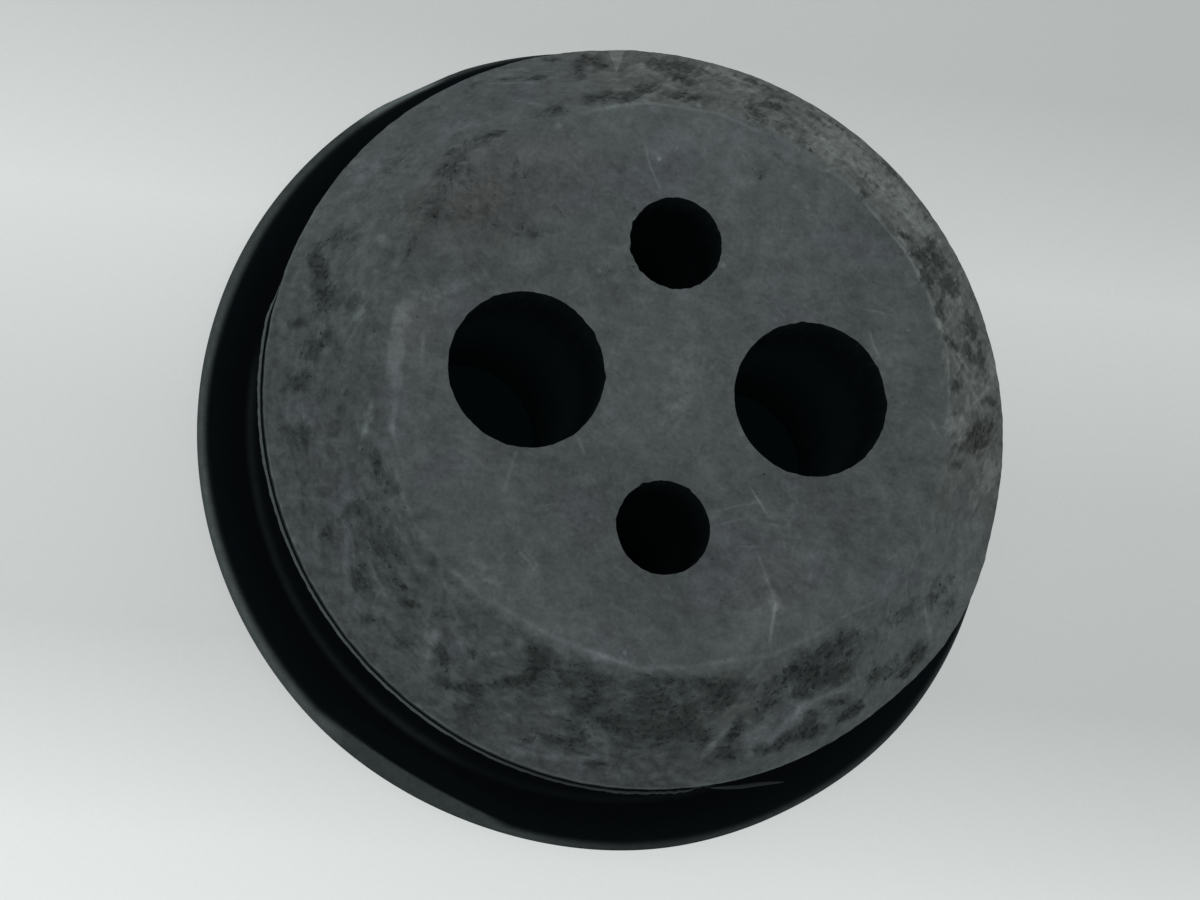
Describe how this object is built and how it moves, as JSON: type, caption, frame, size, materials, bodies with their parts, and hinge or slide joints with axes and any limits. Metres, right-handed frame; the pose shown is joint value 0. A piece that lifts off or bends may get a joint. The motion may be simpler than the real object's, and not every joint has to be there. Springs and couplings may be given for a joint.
{
  "type": "rubber grommet",
  "caption": "Round moulded rubber grommet with a tapered plug head, a wall groove, a wider flange and straight bores for hoses.",
  "frame": {"origin": "centre of the flange's underside, which the part stands on", "axes": "+Z along the grommet's axis, out of the plug end; the two hose bores lie on the X axis and the two vent bores on the Y axis"},
  "size_m": [0.0272, 0.0272, 0.01],
  "materials": {
    "black_rubber": "matte, scuffed"
  },
  "bodies": {
    "root": {"grommet": "black_rubber"}
  },
  "joints": []
}
